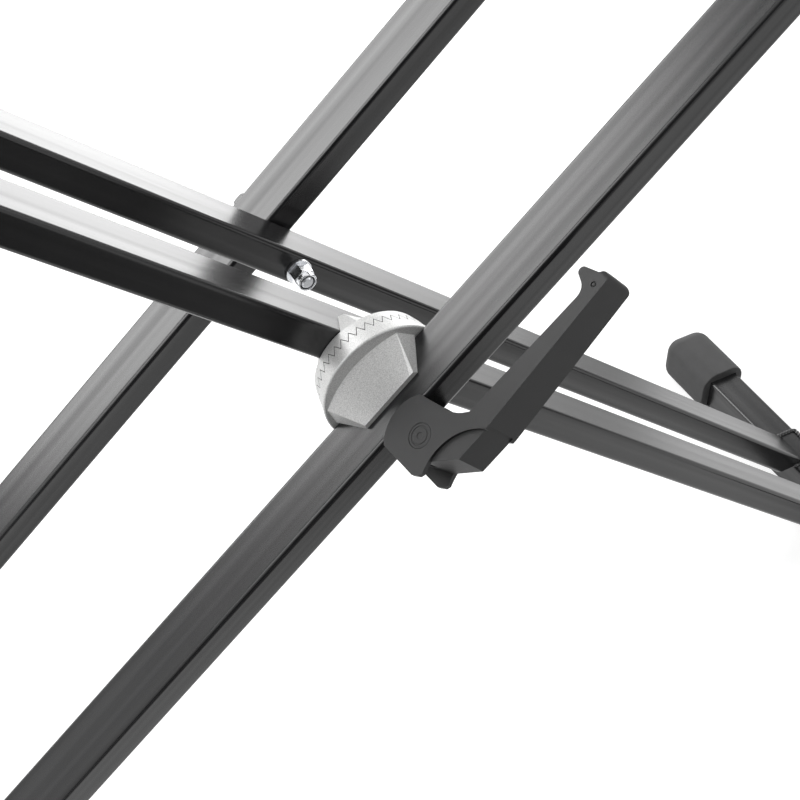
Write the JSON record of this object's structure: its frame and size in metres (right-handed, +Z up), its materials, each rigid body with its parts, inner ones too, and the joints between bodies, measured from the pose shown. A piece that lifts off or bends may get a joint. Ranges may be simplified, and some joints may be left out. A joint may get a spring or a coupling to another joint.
{
  "type": "x-shaped dj stand",
  "caption": "Folding X-shaped DJ stand of crossed twin tube legs with cross bars, rubber caps and top rests, locked by a toothed face clutch and a cam lever.",
  "frame": {"origin": "on the floor, under the middle of the stand in the pictured leg position", "axes": "+Z up, +X across the X-shape towards the top end of the outer legs, +Y along the cross axis, away from the lever"},
  "size_m": [1.0316, 0.456, 0.9351],
  "materials": {
    "powder_coat": "satin",
    "die_cast": "fine grained, satin",
    "lever_plastic": "matte, finely textured",
    "white_plastic": "smooth",
    "black_plastic": "smooth",
    "cap_rubber": "matte",
    "plated_steel": "zinc plated",
    "bright_chrome": "bright"
  },
  "bodies": {
    "outer_frame": {"front_outer_leg": "powder_coat", "rear_outer_leg": "powder_coat", "outer_foot_bar": "powder_coat", "outer_top_bar": "powder_coat", "outer_front_foot_cap": "cap_rubber", "outer_rear_foot_cap": "cap_rubber", "outer_front_top_cap": "cap_rubber", "outer_rear_top_cap": "cap_rubber", "outer_top_strip": "cap_rubber", "front_clutch_half": "die_cast", "clutch_spring": "plated_steel", "thrust_plate": "plated_steel", "rear_pivot_bolt": "powder_coat", "rear_pivot_nut": "bright_chrome", "rear_pivot_washer": "bright_chrome", "rear_pivot_spacer": "black_plastic"},
    "inner_frame": {"front_inner_leg": "powder_coat", "rear_inner_leg": "powder_coat", "inner_foot_bar": "powder_coat", "inner_top_bar": "powder_coat", "inner_front_foot_cap": "cap_rubber", "inner_rear_foot_cap": "cap_rubber", "inner_front_top_cap": "cap_rubber", "inner_rear_top_cap": "cap_rubber", "inner_top_strip": "cap_rubber", "rear_clutch_half": "die_cast", "front_pivot_bush": "white_plastic", "rear_pivot_bush": "white_plastic"},
    "clutch_bolt": {"pull_bolt": "plated_steel", "pull_bolt_washer": "plated_steel", "lever_pin": "plated_steel"},
    "cam_lever": {"lever": "lever_plastic", "lever_pin_covers": "lever_plastic"}
  },
  "joints": [
    {"name": "fold", "type": "hinge", "parent": "outer_frame", "child": "inner_frame", "pos_m": [0, 0, 0.46205], "axis": [0, 1, 0], "range_deg": [-17.14, 85.71]},
    {"name": "bolt_slide", "type": "slide", "parent": "outer_frame", "child": "clutch_bolt", "axis": [0, 1, 0], "range_m": [0, 0.003]},
    {"name": "lever_swing", "type": "hinge", "parent": "clutch_bolt", "child": "cam_lever", "pos_m": [0, -0.13025, 0.46205], "axis": [0.6652, 0, -0.7466], "range_deg": [0, 100]}
  ],
  "couplings": [
    {"joint": "bolt_slide", "follows": "lever_swing", "m_per_rad": 0.0017189}
  ]
}
